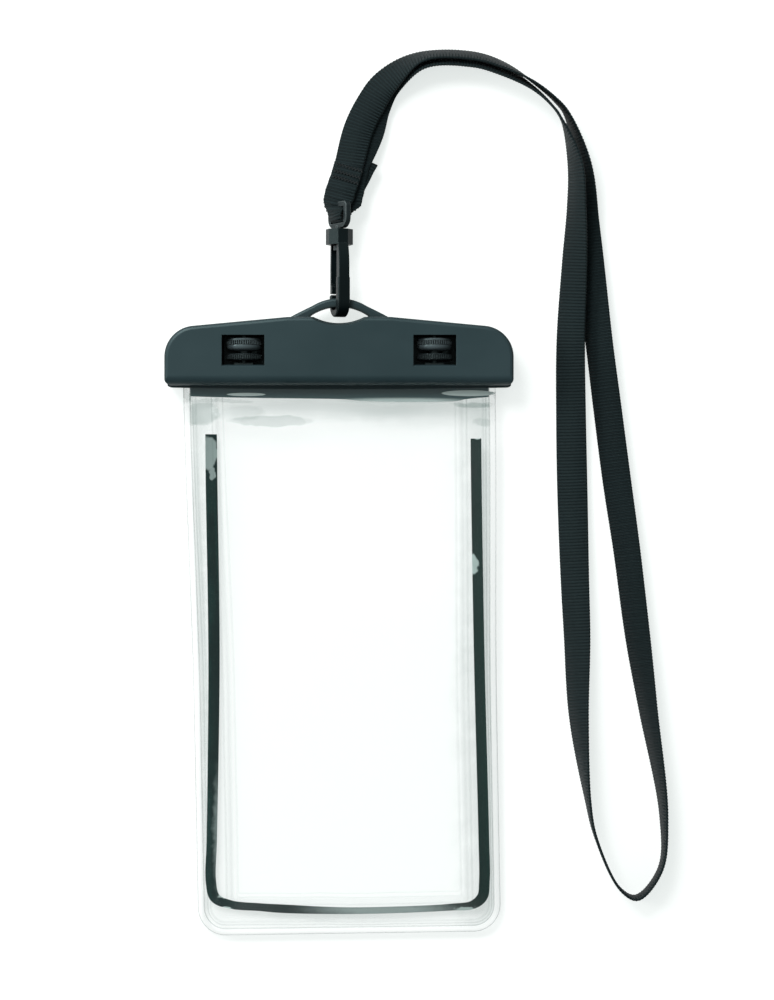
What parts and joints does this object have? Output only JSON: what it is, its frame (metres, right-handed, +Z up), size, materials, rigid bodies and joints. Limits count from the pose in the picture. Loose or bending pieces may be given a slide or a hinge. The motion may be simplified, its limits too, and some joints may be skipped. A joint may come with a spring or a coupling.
{
  "type": "waterproof phone pouch",
  "caption": "Clear film pouch closed by a hard clamp bar with turn locks, with a snap hook and webbing neck lanyard on its eyelet.",
  "frame": {"origin": "centre of the pouch and clamp's footprint, on the surface they lie on, lanyard and hook left out", "axes": "+Z up out of the pouch's front, +Y from the pouch's foot towards the eyelet, +X to the right seen from the front"},
  "size_m": [0.1621, 0.2869, 0.015],
  "materials": {
    "clamp_plastic": "satin moulded",
    "inner_plastic": "satin moulded",
    "wheel_plastic": "satin moulded, knurled",
    "hook_plastic": "satin moulded",
    "seal_rubber": "soft matt",
    "clear_film": "clear flexible film, glossy",
    "border_black": "flat black",
    "webbing": "ribbed woven"
  },
  "bodies": {
    "root": {"clamp_front": "clamp_plastic", "clamp_back": "clamp_plastic", "film_rail_front": "inner_plastic", "film_rail_back": "inner_plastic", "seal_front": "seal_rubber", "seal_back": "seal_rubber", "film_front": "clear_film", "film_back": "clear_film", "border_strip": "border_black", "swivel_eye": "hook_plastic", "strap_end": "webbing", "strap_pair": "webbing", "strap_loop": "webbing"},
    "left_lock": {"lock_wheel_left": "wheel_plastic"},
    "right_lock": {"lock_wheel_right": "wheel_plastic"},
    "hook": {"snap_hook": "hook_plastic"}
  },
  "joints": [
    {"name": "left_lock_turn", "type": "hinge", "parent": "root", "child": "left_lock", "pos_m": [-0.0307, 0.0855, 0.0084], "axis": [0, 1, 0], "range_deg": [0, 90]},
    {"name": "right_lock_turn", "type": "hinge", "parent": "root", "child": "right_lock", "pos_m": [0.0307, 0.0855, 0.0084], "axis": [0, 1, 0], "range_deg": [0, 90]},
    {"name": "hook_swivel", "type": "hinge", "parent": "root", "child": "hook", "pos_m": [0, 0.12, 0.0058], "axis": [0, 1, 0], "range_deg": [-36, 3]}
  ]
}
